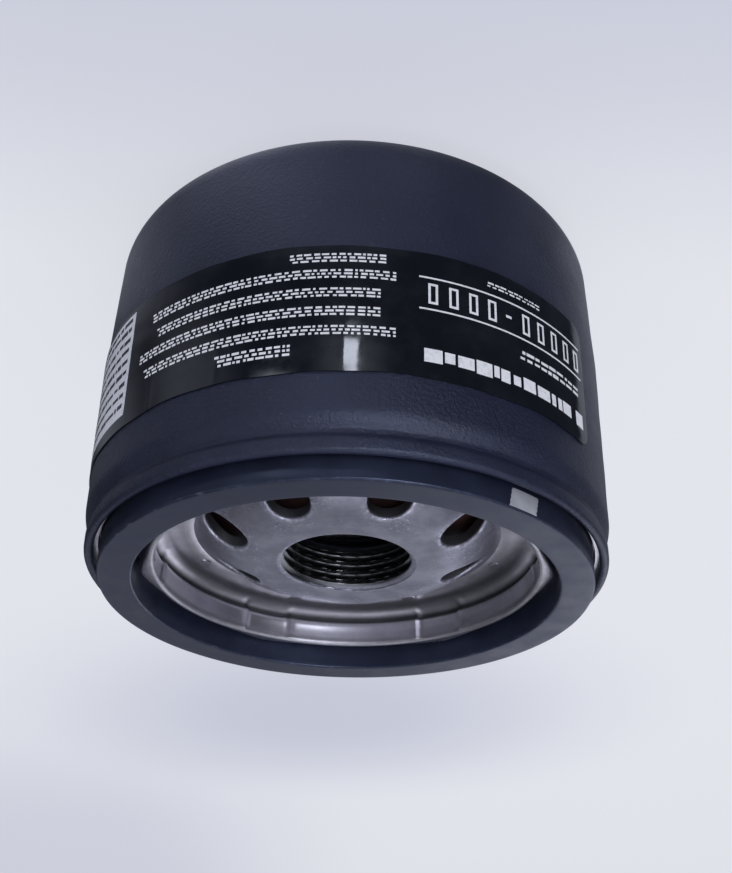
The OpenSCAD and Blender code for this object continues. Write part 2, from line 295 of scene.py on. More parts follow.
class Surface:
    """A procedural material and short calls for its nodes. Sizes are in millimetres."""

    def __init__(self, name, slot, **values):
        self.slot = slot
        self.material = bpy.data.materials.new(name)
        self.material.use_nodes = True
        self.tree = self.material.node_tree
        self.shader = self.tree.nodes["Principled BSDF"]
        for socket, value in values.items():
            self.shader.inputs[socket.replace("_", " ").title().replace("Ior", "IOR")].default_value = value
        self.place = self.node("ShaderNodeTexCoord").outputs["Object"]

    def node(self, kind, inputs=None, **settings):
        made = self.tree.nodes.new(kind)
        for key, value in settings.items():
            setattr(made, key, value)
        for key, value in (inputs or {}).items():
            self.feed(made.inputs[key], value)
        return made

    def feed(self, socket, value):
        if isinstance(value, bpy.types.NodeSocket):
            self.tree.links.new(value, socket)
        else:
            socket.default_value = value

    def set(self, socket, value):
        self.feed(self.shader.inputs[socket], value)

    def math(self, operation, a, b=0.0, clamp=False):
        return self.node("ShaderNodeMath", {0: a, 1: b}, operation=operation, use_clamp=clamp).outputs[0]

    def times(self, product, *factors):
        for factor in factors:
            product = self.math("MULTIPLY", product, factor)
        return product

    def plus(self, total, *terms):
        for term in terms:
            total = self.math("ADD", total, term)
        return total

    def less(self, value, taken):
        return self.math("SUBTRACT", value, taken)

    def step(self, value, zero, one):
        """0 at the value zero, rising smoothly to 1 at the value one."""
        return self.node("ShaderNodeMapRange", {"Value": value, "From Min": zero, "From Max": one},
                         interpolation_type="SMOOTHSTEP").outputs["Result"]

    def between(self, share, low, high):
        """A number that goes from low to high with the share."""
        made = self.node("ShaderNodeMapRange", {"Value": share, "To Min": low, "To Max": high})
        return made.outputs["Result"]

    def vector_math(self, operation, a, b=(0, 0, 0)):
        return self.node("ShaderNodeVectorMath", {0: a, 1: b}, operation=operation)

    def spot(self, place, inner, outer):
        """1 within the inner distance of a place and 0 beyond the outer one."""
        apart = self.vector_math("DISTANCE", self.place, scaled(place, MM)).outputs["Value"]
        return self.step(apart, outer * MM, inner * MM)

    def xyz(self):
        return self.node("ShaderNodeSeparateXYZ", {0: self.place}).outputs

    def along(self, axis, zero, one):
        """0 where the coordinate on axis 0, 1 or 2 is zero, rising smoothly to 1 where it is one."""
        return self.step(self.xyz()[axis], zero * MM, one * MM)

    def height(self, zero, one):
        return self.along(2, zero, one)

    def axis_radius(self):
        flat = self.vector_math("MULTIPLY", self.place, (1, 1, 0)).outputs[0]
        return self.vector_math("LENGTH", flat).outputs["Value"]

    def radius(self, zero, one):
        """0 at the distance zero from the axis, rising smoothly to 1 at the distance one."""
        return self.step(self.axis_radius(), zero * MM, one * MM)

    def polar(self, along, across):
        """Coordinates without a seam, in steps per radian round the axis and per millimetre across."""
        x, y, z = self.xyz()
        r = self.math("MAXIMUM", self.axis_radius(), 1e-5)
        around = [self.times(self.math("DIVIDE", side, r), along) for side in (x, y)]
        outward = self.times(self.plus(r, z), across / MM)
        return self.node("ShaderNodeCombineXYZ", {0: around[0], 1: around[1], 2: outward}).outputs[0]

    def noise(self, size, detail=3.0, rough=0.55, vector=None):
        """Noise of a size in millimetres, or of a scale if it has a vector of its own."""
        scale = 1 / (size * MM) if vector is None else size
        return self.node("ShaderNodeTexNoise", {"Vector": vector or self.place, "Scale": scale,
                                                "Detail": detail, "Roughness": rough}).outputs["Fac"]

    def cells(self, size):
        return self.node("ShaderNodeTexVoronoi", {"Vector": self.place, "Scale": 1 / (size * MM)}).outputs

    def specks(self, size, share):
        """1 in scattered round specks, which fill about that share of their cells."""
        cells = self.cells(size)
        number = self.node("ShaderNodeSeparateColor", {0: cells["Color"]}).outputs[0]
        return self.times(self.step(cells["Distance"], 0.22, 0.10), self.step(number, share, share - 0.02))

    def mix(self, share, a, b):
        """A colour that goes from a to b with the share."""
        made = self.node("ShaderNodeMix", data_type="RGBA")
        sockets = [s for s in made.inputs if s.enabled]
        for socket, value in zip(sockets, (share, a, b)):
            plain = isinstance(value, (bpy.types.NodeSocket, float))
            self.feed(socket, value if plain else (*value, 1.0))
        return next(s for s in made.outputs if s.enabled)

    def worn(self):
        return self.node("ShaderNodeAttribute", attribute_name="edge").outputs["Fac"]

    def bump(self, *heights):
        """Bumps of (height from 0 to 1, size in millimetres), one on another."""
        normal = None
        for height, size in heights:
            made = self.node("ShaderNodeBump", {"Height": height, "Distance": size * MM, "Strength": 1.0})
            if normal is not None:
                self.feed(made.inputs["Normal"], normal)
            normal = made.outputs[0]
        self.set("Normal", normal)


def can_paint():
    """Satin paint with a powdery skin and dust."""
    s = Surface("can_paint", "can_paint", specular_ior_level=0.5, ior=1.5)
    powder = s.noise(0.55, 4, 0.8)
    colour = s.mix(s.step(s.noise(14, 3), 0.35, 0.7), (0.0075, 0.010, 0.024), (0.011, 0.014, 0.033))
    colour = s.mix(s.times(s.step(powder, 0.56, 0.68), 0.3), colour, (0.045, 0.052, 0.085))
    colour = s.mix(s.times(s.specks(0.7, 0.06), 0.35), colour, (0.14, 0.15, 0.20))
    s.set("Base Color", colour)
    s.set("Specular Tint", (0.78, 0.83, 1.0, 1.0))
    s.set("Roughness", s.between(s.noise(3.0, 4), 0.34, 0.46))
    s.bump((s.noise(0.5, 2), 0.10), (powder, 0.10))
    return s


def label_film():
    """Glossy black film, smudged and slightly wavy."""
    s = Surface("label_film", "label_film", ior=1.38)
    smudge = s.noise(6, 4, 0.65)
    s.set("Base Color", s.mix(s.step(smudge, 0.4, 0.75), (0.006, 0.007, 0.011), (0.011, 0.012, 0.017)))
    s.set("Roughness", s.between(s.step(smudge, 0.4, 0.8), 0.05, 0.16))
    s.bump((s.noise(2.6, 1), 0.02), (s.noise(0.5, 2), 0.0015))
    return s


def ink(name, colour):
    """Printed ink, faded in places."""
    s = Surface(name, "label_film", ior=1.45)
    s.set("Base Color", s.mix(s.step(s.noise(0.5, 3), 0.45, 0.7), colour, scaled(colour, 0.82)))
    s.set("Roughness", s.between(s.noise(1.5, 3), 0.18, 0.34))
    s.bump((s.noise(0.12, 2), 0.002))
    return s


def scuffs(s):
    """Bright flecks on the plate between its hub and its low ring."""
    flakes = s.step(s.noise(0.5, 6, 0.85), 0.54, 0.62)
    patch = s.step(s.noise(4.5, 3), 0.46, 0.60)
    return s.times(flakes, patch, s.radius(22.5, 20.5), s.radius(11.5, 14.0))


def paint_recess_shade(s, colour, finish, rough):
    """Colour and roughness with painted shade in the bore and on the inlets' walls, smoother steel in the
    bore but rougher on its last turns, and the share of the surface outside them, where bumps stay.
    """
    bore = s.times(s.radius(THREAD_R + 0.9, THREAD_R + 0.3), s.height(HUB_Z - 0.40, HUB_Z - 0.75))
    # The edge value is -1 on the walls of the inlets
    painted_recess_shade = s.math("MAXIMUM", bore, s.times(s.worn(), -1.0), clamp=True)
    # No light reaches the last turns of the thread, so shade is painted on them
    thread_end_shade = s.times(bore, s.height(HUB_Z - 5.9, HUB_Z - 6.9))
    # Painted shade: the bore and the inlets' walls take a darker colour, and the last turns a near black
    # one
    colour = s.mix(thread_end_shade, s.mix(painted_recess_shade, colour, (0.150, 0.155, 0.160)), (0.012, 0.013, 0.018))
    finish = s.plus(s.less(finish, s.times(bore, rough - 0.24)), s.times(thread_end_shade, 0.4))
    return colour, finish, s.less(1.0, painted_recess_shade)


def paint_groove_shade(s, colour, finish):
    """Colour and roughness with painted shade in the groove under the lid's wall and just below its crest,
    where the steel is also rougher.
    """
    groove = s.times(s.height(FLOOR_Z + 0.75, FLOOR_Z + 1.7), s.height(FLOOR_Z + 3.1, FLOOR_Z + 2.35))
    crest = s.times(s.height(CREST_Z - 1.5, CREST_Z - 0.55), s.height(CREST_Z + 0.25, CREST_Z - 0.3))
    # Painted shade: the groove and the band just below the crest are darkened
    painted_groove_shade = s.plus(s.times(groove, 0.94), s.times(crest, 0.5))
    painted_groove_shade = s.times(painted_groove_shade, s.radius(CREST_R + 0.9, CREST_R + 0.7))
    return s.mix(painted_groove_shade, colour, (0.015, 0.015, 0.018)), s.plus(finish, s.times(painted_groove_shade, 0.35))


def bare_steel(name, dark, light, rough, grain=0.012, wear=1.0, scuffed=False, recess_shaded=False, groove_shaded=False):
    """Plated sheet steel with marks from turning and drawing, stains, and brighter worn edges."""
    s = Surface(name, name, metallic=1.0)
    spun = s.noise(1.0, 3, 0.6, s.polar(2.2, 3.2))
    stain = s.noise(5.5, 5, 0.62)
    colour = s.mix(s.step(stain, 0.34, 0.66), dark, light)
    colour = s.mix(s.times(s.step(spun, 0.5, 0.8), 0.3), colour, scaled(light, 1.25))
    colour = s.mix(s.times(s.specks(0.8, 0.12), 0.5), colour, scaled(dark, 0.6))
    chipped = s.step(s.noise(0.8, 5, 0.75), 0.40, 0.60)
    rubbed = s.times(s.math("MAXIMUM", s.times(s.worn(), wear), 0.0), chipped)
    if scuffed:
        rubbed = s.math("MAXIMUM", rubbed, scuffs(s))
    colour = s.mix(rubbed, colour, scaled(light, 1.65))
    finish = s.between(s.step(stain, 0.3, 0.7), rough * 1.12, rough * 0.90)
    finish = s.less(finish, s.times(rubbed, rough * 0.25))
    unshaded_share = 1.0
    if recess_shaded:
        colour, finish, unshaded_share = paint_recess_shade(s, colour, finish, rough)
    if groove_shaded:
        colour, finish = paint_groove_shade(s, colour, finish)
    s.set("Base Color", colour)
    s.set("Roughness", finish)
    s.bump((s.times(s.noise(0.35, 3), unshaded_share), grain), (s.times(spun, unshaded_share), grain * 0.8), (rubbed, 0.015))
    return s


def rubber(name, slot, colour, scuff, rough=0.5, grain=0.006):
    """Matt rubber or paint with fluff on it and lighter scuffs along its edges."""
    s = Surface(name, slot, ior=1.5)
    cloud = s.noise(4, 4, 0.6)
    base = s.mix(s.step(cloud, 0.35, 0.7), scaled(colour, 0.85), scaled(colour, 1.15))
    rubbed = s.times(s.worn(), s.step(s.noise(1.6, 6, 0.8), 0.52, 0.70), 0.45)
    marks = s.math("MAXIMUM", rubbed, s.times(s.specks(0.6, 0.03), 0.4))
    s.set("Base Color", s.mix(marks, base, scuff))
    s.set("Specular Tint", (0.64, 0.74, 1.0, 1.0))
    s.set("Roughness", s.between(s.step(cloud, 0.3, 0.7), rough * 0.85, rough * 1.15))
    s.bump((s.noise(0.3, 3), grain), (s.noise(0.08, 2), grain * 0.4))
    return s


def paper():
    """Pale fibrous paper embossed with dots."""
    s = Surface("filter_paper", "filter_paper", roughness=0.85, subsurface_weight=0.1,
                subsurface_radius=(0.0006, 0.0004, 0.0002))
    stretched = s.node("ShaderNodeMapping", {"Vector": s.place, "Scale": (900, 900, 260)}).outputs[0]
    fibre = s.noise(1.0, 6, 0.7, stretched)
    colour = s.mix(s.step(fibre, 0.35, 0.65), (0.62, 0.46, 0.22), (0.78, 0.64, 0.38))
    dots_per_mm = 0.7
    dots = s.step(s.cells(1 / dots_per_mm)["Distance"], 0.25, 0.15)
    s.set("Base Color", s.mix(s.times(dots, 0.25), colour, (0.45, 0.32, 0.15)))
    s.bump((fibre, 0.03), (dots, 0.02))
    return s


def compound():
    """Blotchy glue or sealing compound."""
    s = Surface("sealant", "sealant", roughness=0.45, ior=1.5)
    s.set("Base Color", s.mix(s.step(s.noise(2.2, 4), 0.35, 0.7), (0.50, 0.42, 0.26), (0.68, 0.62, 0.45)))
    s.bump((s.noise(0.6, 3), 0.03), (s.specks(0.7, 0.15), 0.03))
    return s


PAINT = can_paint()
FILM = label_film()
WHITE_INK = ink("white_ink", (0.76, 0.77, 0.80))
PANEL_INK = ink("panel_ink", (0.62, 0.63, 0.68))
BLACK_INK = ink("black_ink", (0.010, 0.011, 0.016))
# The plate gets painted shade in its bore and on its inlets' walls
PLATE = bare_steel("plate_steel", (0.28, 0.28, 0.33), (0.39, 0.39, 0.45), 0.55, scuffed=True, recess_shaded=True)
# The lid gets painted shade in its groove and just below its crest
LID = bare_steel("lid_steel", (0.52, 0.51, 0.55), (0.66, 0.65, 0.69), 0.31, grain=0.004, wear=0.25,
                 groove_shaded=True)
TINPLATE = bare_steel("inner_steel", (0.44, 0.44, 0.42), (0.56, 0.56, 0.54), 0.30, grain=0.006)
SPRING_STEEL = bare_steel("spring_steel", (0.22, 0.23, 0.26), (0.34, 0.35, 0.38), 0.34, grain=0.006)
GASKET = rubber("gasket_rubber", "gasket_rubber", (0.011, 0.014, 0.029), (0.12, 0.13, 0.19), 0.38)
MARK = rubber("mark_paint", "gasket_rubber", (0.34, 0.35, 0.38), (0.5, 0.5, 0.52), 0.38)
VALVE = rubber("valve_rubber", "valve_rubber", (0.045, 0.022, 0.020), (0.12, 0.08, 0.07), 0.42)
SEAL = rubber("seal_rubber", "gasket_rubber", (0.020, 0.021, 0.024), (0.10, 0.10, 0.11), 0.5)
COMPOUND = compound()
PAPER = paper()


# --- Can ---

def make_shell():
    """The can from the middle of its closed end, out and up its wall, and over into the seam."""
    half = SHEET_T / 2
    raised_h, raised_r, step_in, step_out, step_arc = 0.8, 13.2, 14.6, 15.8, 0.4
    foot_arc, foot_inset, wall_start = 5.7, 0.6, 21
    shoulder_arc, slope, reverse_arc, bead_arc = 4.0, 34, 1.2, 0.45
    path = [(0, raised_h + half), (raised_r, raised_h + half)]
    path += arc((step_in, half + step_arc), step_arc, 90, 0, 5)
    path += arc((step_out, half + step_arc), step_arc, 180, 270, 5)
    path += arc((CAN_R - foot_inset - foot_arc, foot_arc), foot_arc - half, -90, 0, 18)
    path += [(CAN_R - half, wall_start), (CAN_R - half, SHOULDER_Z)]
    path += arc((CAN_R - half - shoulder_arc, SHOULDER_Z), shoulder_arc, 0, slope, 10)
    lean = math.radians(slope)
    reverse_at = (path[-1][0] + reverse_arc * math.cos(lean), path[-1][1] + reverse_arc * math.sin(lean))
    path += arc(reverse_at, reverse_arc, 180 + slope, 180, 5)
    path += ease((path[-1][0], GROOVE_Z - 0.12), (BEAD_R - half, GROOVE_Z + 1.1), 9)
    path += arc((BEAD_R - half - bead_arc, BEAD_TOP - half - bead_arc), bead_arc, 0, 180, 12)
    path += [(BEAD_R - half - 2 * bead_arc, HOOK_END)]

    def dents(angle, r, z):
        loose = np.clip((z - 4) / 10, 0, 1) * np.clip((SHOULDER_Z + 2 - z) / 6, 0, 1)
        return r + 0.035 * loose * (waves(angle, z, 3) - 1), z + 0 * r

    turned("shell", sheet(path, SHEET_T, from_axis=True, longest=1.5), PAINT, shape=dents)


WRINKLES = (  # angle, low and high end, height
    (-88.3, 33, 42, 0.03),
    (-79.2, 21, 31, 0.05),
    (-95.5, 21, 27, 0.05),
    (-46, 36, 43, 0.05),
    (-63, 33, 43, 0.04),
    (20, 28, 43, 0.07),
    (95, 21, 33, 0.06),
)


def film_radius(angle, z):
    """Outer radius of the label's film, with its wrinkles. Angles are in degrees."""
    lift = 0.02 * (waves(np.radians(angle), z, 11, 0.6) + 1)
    for middle, low, high, tall in WRINKLES:
        along = np.clip((z - low) / 3, 0, 1) * np.clip((high - z) / 3, 0, 1)
        off = (angle - middle - 0.05 * (z - low)) / 0.8
        lift = lift + tall * np.exp(-(off ** 2)) * along
    return CAN_R + 0.03 + FILM_T + lift


def slab(angle, z, low, high):
    """A closed thin patch wrapped round the can. angle and z are grids, low and high its faces' radii."""
    a = np.radians(angle)
    points = [np.stack([r * np.cos(a), r * np.sin(a), z], -1).reshape(-1, 3) for r in (high, low)]
    top = quads(*angle.shape, wrap_columns=False)[:, ::-1]
    n = angle.size
    index = np.arange(n).reshape(angle.shape)
    rim = np.concatenate([index[0, :-1], index[:-1, -1], index[-1, :0:-1], index[:0:-1, 0]])
    after = np.roll(rim, -1)
    side = np.stack([rim, after, after + n, rim + n], -1)
    return np.vstack(points), np.vstack([top, top[:, ::-1] + n, side]), np.zeros(2 * n)


def make_label():
    """The film, with round corners and slightly wavy long edges."""
    corner, columns = 2.2, 1100
    tall = LABEL_HIGH - LABEL_LOW
    curve = corner * (1 - np.cos(np.linspace(0, np.pi / 2, 8)))
    straight = np.linspace(LABEL_LOW + corner, LABEL_HIGH - corner, 22)[1:-1]
    rows = np.concatenate([LABEL_LOW + curve, straight, (LABEL_HIGH - curve)[::-1]])
    from_edge = np.minimum(rows - LABEL_LOW, LABEL_HIGH - rows)
    short = corner - np.sqrt(np.maximum(corner ** 2 - np.maximum(corner - from_edge, 0) ** 2, 0))
    inset = np.degrees(short / CAN_R)[:, None]
    along = np.linspace(0, 1, columns)[None, :]
    angle = LABEL_START + inset + along * (LABEL_WRAP - 2 * inset)
    z = np.repeat(rows[:, None], columns, 1)
    edge_wave = 0.10 * np.sin(np.radians(angle) * 9 + 1) + 0.06 * np.sin(np.radians(angle) * 23)
    edge_wave = edge_wave * np.where(z > (LABEL_LOW + LABEL_HIGH) / 2, 1, -0.7)
    z = z + edge_wave * (np.abs(z - LABEL_LOW - tall / 2) / tall * 2) ** 6
    outer = film_radius(angle, z)
    piece("label", slab(angle, z, np.full_like(outer, CAN_R + 0.01), outer), FILM, weld=False)


def patches(name, bars, surface, proud=0.02):
    """Printed areas on the film, each given by its angles and heights."""
    grids = []
    for start, end, low, high in bars:
        columns = max(2, math.ceil(abs(end - start) / 0.45) + 1)
        rows = max(2, math.ceil((high - low) / 0.5) + 1)
        angle, z = np.meshgrid(np.linspace(start, end, columns), np.linspace(low, high, rows))
        film = film_radius(angle, z)
        grids.append(slab(angle, z, film - 0.03, film + proud))
    piece(name, joined(*grids), surface, weld=False)


def dashes(rng, start, end, low, high, short=0.9, long=4.2, gap=0.6, uneven=0.25):
    """A row of plain dashes of uneven length, in degrees, in place of a line of words."""
    bars, at = [], start
    while at < end - short:
        stop = min(at + rng.uniform(short, long), end)
        tall = (high - low) * uneven
        bars.append((at, stop, low + rng.uniform(0, tall), high - rng.uniform(0, tall)))
        at = stop + gap * rng.uniform(0.6, 1.5)
    return bars


def lines(rng, start, end, low, high, rows=3, **how):
    """A row of words as a few thin rows of short dashes, close together."""
    pitch = (high - low) / rows
    bars = []
    for k in range(rows):
        bars += dashes(rng, start, end, low + k * pitch, low + (k + 0.62) * pitch, **how)
    return bars


def open_boxes():
    """Nine plain open boxes and a short dash, evenly spaced."""
    low, high, line, side, width, pitch = 27.0, 30.2, 0.35, 0.5, 2.0, 4.35
    inner_low, inner_high = low + line, high - line
    bars = []
    for k in range(10):
        left = -145.6 + pitch * k
        right = left + width
        if k == 5:
            bars.append((left + 0.6, right, 28.35, 28.75))
        else:
            bars += [(left, right, low, inner_low), (left, right, inner_high, high)]
            bars += [(start, start + side, inner_low, inner_high) for start in (left, right - side)]
    return bars


def make_print():
    """Printed rows, as (first angle, last angle, low, high). No row is lettering."""
    rng = np.random.default_rng(5)
    small = dict(short=0.45, long=1.7, gap=0.5, uneven=0.1)
    # Two rules with boxes between them, and two rows of small words
    white = [(-146.4, -102.6, 30.95, 31.2), (-146.4, -102.6, 26.0, 26.25)] + open_boxes()
    white += lines(rng, -131.5, -117.5, 24.1, 25.1, 2, short=0.5, long=1.6, gap=0.4)
    white += lines(rng, -144.5, -124.5, 33.0, 34.8, 2, short=0.8, long=2.4, gap=0.5)
    # One bold row with a plain square before it
    white += [(-145.9, -142.9, 37.0, 39.2)]
    white += dashes(rng, -140.8, -103.0, 37.0, 39.2, short=1.2, long=4.6, gap=0.6, uneven=0.2)
    # Block of five lines with a short heading
    white += lines(rng, -78.0, -62.5, 37.4, 39.3, **small)
    for start, end, low in ((-98, -43, 34.75), (-95, -41, 31.85), (-95, -46, 28.95), (-98, -44, 26.05),
                            (-96, -77, 23.45)):
        white += lines(rng, start, end, low, low + 1.6, **small)
    # Two more blocks on the far side, whose last line is shorter
    for low in (36.4, 33.8, 31.2, 28.6, 26.0, 23.6):
        white += dashes(rng, 62, 118 - 8 * (low < 25), low, low + 0.9)
    for low in (37.0, 34.2, 31.4, 28.6, 25.8, 23.4):
        white += dashes(rng, 128, 178 - 20 * (low < 25), low, low + 0.9)
    patches("label_print", white, WHITE_INK)
    patches("label_panel", [(-36.6, 52.0, 22.9, 39.6)], PANEL_INK, 0.016)
    black = []
    for k, low in enumerate((37.4, 35.6, 33.8, 32.0, 30.2, 28.4, 26.6, 24.8, 23.4)):
        black += dashes(rng, -35.4, 50 - 6 * (k % 3), low, low + 0.85, short=0.7, long=4.0, gap=0.5)
    patches("label_panel_print", black, BLACK_INK, 0.03)


# --- Base plate ---

SECTOR = 360 / INLETS
SECTOR_START = INLET_TURN - SECTOR / 2
SECTOR_IN, SECTOR_OUT = 13.2, 22.6  # the plate is made of sectors between these radii, one for each inlet


def plate_z(r, depth=0.0):
    """Height of the plate's upper face at a radius, or of its underside with depth=PLATE_T."""
    steep = math.radians(DOME_ANGLE)
    fall = HUB_Z - FLOOR_Z - (DOME_R + VALLEY_R) * (1 - math.cos(steep))
    valley_r = HUB_FLAT_R + (DOME_R + VALLEY_R) * math.sin(steep) + fall / math.tan(steep)
    face = [(0, HUB_Z - depth)] + arc((HUB_FLAT_R, HUB_Z - DOME_R), DOME_R - depth, 90, 90 - DOME_ANGLE, 30)
    face += arc((valley_r, FLOOR_Z + VALLEY_R), VALLEY_R + depth, 270 - DOME_ANGLE, 270, 14)
    radii, heights = zip(*face, (40, FLOOR_Z - depth))
    return np.interp(r, radii, heights)


def thread_radius(angle, z):
    """Radius of the tapped wall: flat crests at the bore's radius, sloping flanks and narrow roots."""
    phase = (z / PITCH - angle / (2 * np.pi)) % 1
    off = np.abs(phase - 0.5) * 2
    crest, root = 0.20, 0.88
    return BORE_R + (THREAD_R - BORE_R) * np.clip((off - crest) / (root - crest), 0, 1)


def plate_middle():
    """The hub with its tapped bore, and the collar drawn down round it."""
    drop, lip, fillet = 0.9, 0.25, 0.8
    under = HUB_Z - PLATE_T
    path = [(SECTOR_IN, plate_z(SECTOR_IN)), (HUB_FLAT_R, HUB_Z), (BORE_R + ENTRY + 0.2, HUB_Z)]
    path += arc((BORE_R + ENTRY, HUB_Z - ENTRY), ENTRY, 90, 180, 18)
    path += [(BORE_R, z) for z in np.arange(HUB_Z - ENTRY - 0.06, COLLAR_END + drop, -0.06)]
    path += [(BORE_R + t * drop, COLLAR_END + drop * (1 - t)) for t in np.linspace(0, 1, 6)]
    path += [(COLLAR_R - lip, COLLAR_END)] + arc((COLLAR_R - lip, COLLAR_END + lip), lip, -90, 0, 3)
    path += [(COLLAR_R, under - fillet)] + arc((COLLAR_R + fillet, under - fillet), fillet, 180, 90, 4)
    path += [(HUB_FLAT_R, under), (SECTOR_IN, plate_z(SECTOR_IN, PLATE_T))]

    def tapped(angle, r, z):
        wall = (r < BORE_R + ENTRY + 0.01) & (z < HUB_Z - 0.01) & (z > COLLAR_END - 0.01)
        return np.where(wall, np.maximum(r, thread_radius(angle, z)), r), z

    return lathe(tidy(path), closed=False, start=SECTOR_START, shape=tapped)


def plate_rim():
    """The step up from the low ring and the ledge that backs the gasket."""
    low, under, bend, edge, root = FLOOR_Z - PLATE_T, LEDGE_Z - PLATE_T, 0.6, 0.2, 0.5
    step_r, edge_r, root_r = PLATE_STEP_R + PLATE_T, PLATE_R - edge, PLATE_STEP_R + root
    path = [(SECTOR_OUT, plate_z(SECTOR_OUT, PLATE_T)), (step_r - bend, low)]
    path += arc((step_r - bend, low + bend), bend, -90, 0, 4) + [(step_r, under), (edge_r, under)]
    path += arc((edge_r, under + edge), edge, -90, 0, 3) + arc((edge_r, LEDGE_Z - edge), edge, 0, 90, 3)
    path += [(root_r, LEDGE_Z)] + arc((root_r, LEDGE_Z - root), root, 90, 180, 4)
    path += [(PLATE_STEP_R, FLOOR_Z + 0.1), (PLATE_STEP_R - 0.1, FLOOR_Z)]
    path += [(SECTOR_OUT, plate_z(SECTOR_OUT))]
    return lathe(tidy(path), closed=False, start=SECTOR_START)


def inlet_sector():
    """Rows of points, and their edge wear, of the sector round an inlet that lies on the X axis. The
    inlet's wall gets -1 in place of wear, for painted shade.
    """
    radial = np.linspace(SECTOR_IN, SECTOR_OUT, 21)
    half = SECTOR / 2
    sweep = np.linspace(-half, half, TURNS // INLETS + 1)
    border = [(r, -half) for r in radial[:-1]] + [(SECTOR_OUT, a) for a in sweep[:-1]]
    border += [(r, half) for r in radial[:0:-1]] + [(SECTOR_IN, a) for a in sweep[:0:-1]]
    r, a = np.array(border).T
    x, y = r * np.cos(np.radians(a)), r * np.sin(np.radians(a))
    away = np.arctan2(y, x - INLET_RING_R)
    # The rim is sunk and rounded, and the wall widens downward and ends a little above the underside
    round_r, sunk, flare, burr = 0.32, 0.10, 0.12, 0.12

    def ring(radius):
        return INLET_RING_R + radius * np.cos(away), radius * np.sin(away)

    def spread(share):
        """Points from the hole's rim at 0 out to the sector's border at 1, and their radii."""
        rim_x, rim_y = ring(INLET_R + round_r)
        px, py = rim_x + (x - rim_x) * share, rim_y + (y - rim_y) * share
        return px, py, np.hypot(px, py)

    shares = (1, 0.82, 0.64, 0.48, 0.34, 0.22, 0.13, 0.06, 0)
    rows = []  # x, y, z and edge wear, which is -1 on the inlet's wall for painted shade
    for share in shares:
        px, py, radii = spread(share)
        rows.append((px, py, plate_z(radii) - sunk * (1 - share) ** 8, 0.9 * (1 - share) ** 10))
    rim_top, rim_low = plate_z(radii) - sunk, plate_z(radii, PLATE_T) + burr
    for t in np.radians((22, 45, 67, 90)):
        px, py = ring(INLET_R + round_r * (1 - math.sin(t)))
        rows.append((px, py, rim_top - round_r * (1 - math.cos(t)), 1.0))
    # The inlet's wall, marked -1 for painted shade
    for share in np.linspace(0, 1, 8)[1:]:
        px, py = ring(INLET_R + flare * max(share - 0.45, 0))
        rows.append((px, py, (rim_top - round_r) * (1 - share) + rim_low * share, -1.0))
    for share in shares[::-1]:
        px, py, radii = spread(share)
        rows.append((px, py, plate_z(radii, PLATE_T), 0.0))
    rows = np.array([np.stack(np.broadcast_arrays(*row), -1) for row in rows])
    return rows[..., :3], rows[..., 3]


def make_plate():
    rows, wear = inlet_sector()
    grids = [plate_middle(), plate_rim()]
    for k in range(INLETS):
        a = math.radians(INLET_TURN + k * SECTOR)
        spin = np.array([[math.cos(a), math.sin(a), 0], [-math.sin(a), math.cos(a), 0], [0, 0, 1]])
        grids.append((rows @ spin, quads(*wear.shape), wear))
    piece("base_plate", joined(*grids), PLATE)


# --- Lid, gasket and seam ---

LID_WALL = (  # how far inward from the groove, and how far above the plate's low ring
    (0, 2.06), (0.07, 2.16), (0.40, 2.32), (0.82, 2.58), (0.98, 2.85), (0.98, 3.15), (0.92, 3.5),
    (0.86, 3.9), (0.82, 4.4), (0.80, 5.0), (0.80, 5.4),
)


def lid_bumps(angle, r, z):
    """Six places where the wall is pressed outward to hold the gasket, with a dent at each end."""
    spots = [BUMP_TURN + k * 360 / BUMPS for k in range(BUMPS)]
    sides = [at + side * (BUMP_WIDTH / 2 + 1.2) for at in spots for side in (-1, 1)]
    pressed = sum(window(angle, at, BUMP_WIDTH, 1.8) for at in spots)
    ends = sum(window(angle, at, 1.0, 1.2) for at in sides)
    bulged = sum(window(angle, at, 12.0, 20.0) for at in spots)
    low_band = np.clip((z - FLOOR_Z - 0.45) / 0.8, 0, 1) * (r > 25.5)
    inner = (r < 28.75) * (z < CREST_Z - 0.35) * (r < 28.0 + 0.8 * (z < FLOOR_Z + 2.4)) * low_band
    outer = np.clip((r - CREST_R - 0.05) / 0.35, 0, 1) * (z > LEDGE_Z + 0.5) * (r < 29.6)
    wobble = 0.03 * waves(angle, z, 21) * (r > 25.5) * (r < 29.6)
    return r + 0.34 * inner * pressed - 0.17 * inner * ends + 1.3 * outer * bulged + wobble, z


def make_lid():
    """The lid from its hole outward: flange, hollow, wall, crest, gasket channel and the seam's hook."""
    half = SHEET_T / 2
    flange_z = FLOOR_Z + half
    hook_r, hook_z = BEAD_R - SHEET_T - 0.05 - half, HOOK_END - 0.05 - half
    channel_z, channel_in, channel_out, corner = LEDGE_Z + 0.25, 28.9, GASKET_R + 0.45, 0.3
    hollow_r, hollow_wide, crest_arc = 2.1, 1.3, 0.38
    path = [(LID_HOLE_R + out, flange_z - down) for out, down in ((0.2, 0.30), (0.9, 0.16), (1.8, 0.03))]
    hollow = arc((LID_GROOVE_R - hollow_r, flange_z + hollow_r), hollow_r, -90, -8, 22)
    path += [(LID_GROOVE_R - (LID_GROOVE_R - r) * hollow_wide, z) for r, z in hollow]
    path += [(LID_GROOVE_R - inward, FLOOR_Z + up) for inward, up in LID_WALL]
    path += arc((CREST_R, CREST_Z - half - crest_arc), crest_arc, 180, 0, 14)
    path += arc((channel_in + corner, channel_z + corner), corner, 180, 270, 5)
    path += arc((channel_out - corner, channel_z + corner), corner, -90, 0, 5)
    path += [(channel_out, hook_z), (hook_r, hook_z), (hook_r, BEAD_TOP - 0.7)]
    turned("seaming_lid", sheet(path, SHEET_T, longest=0.9), LID, turns=480, shape=lid_bumps)


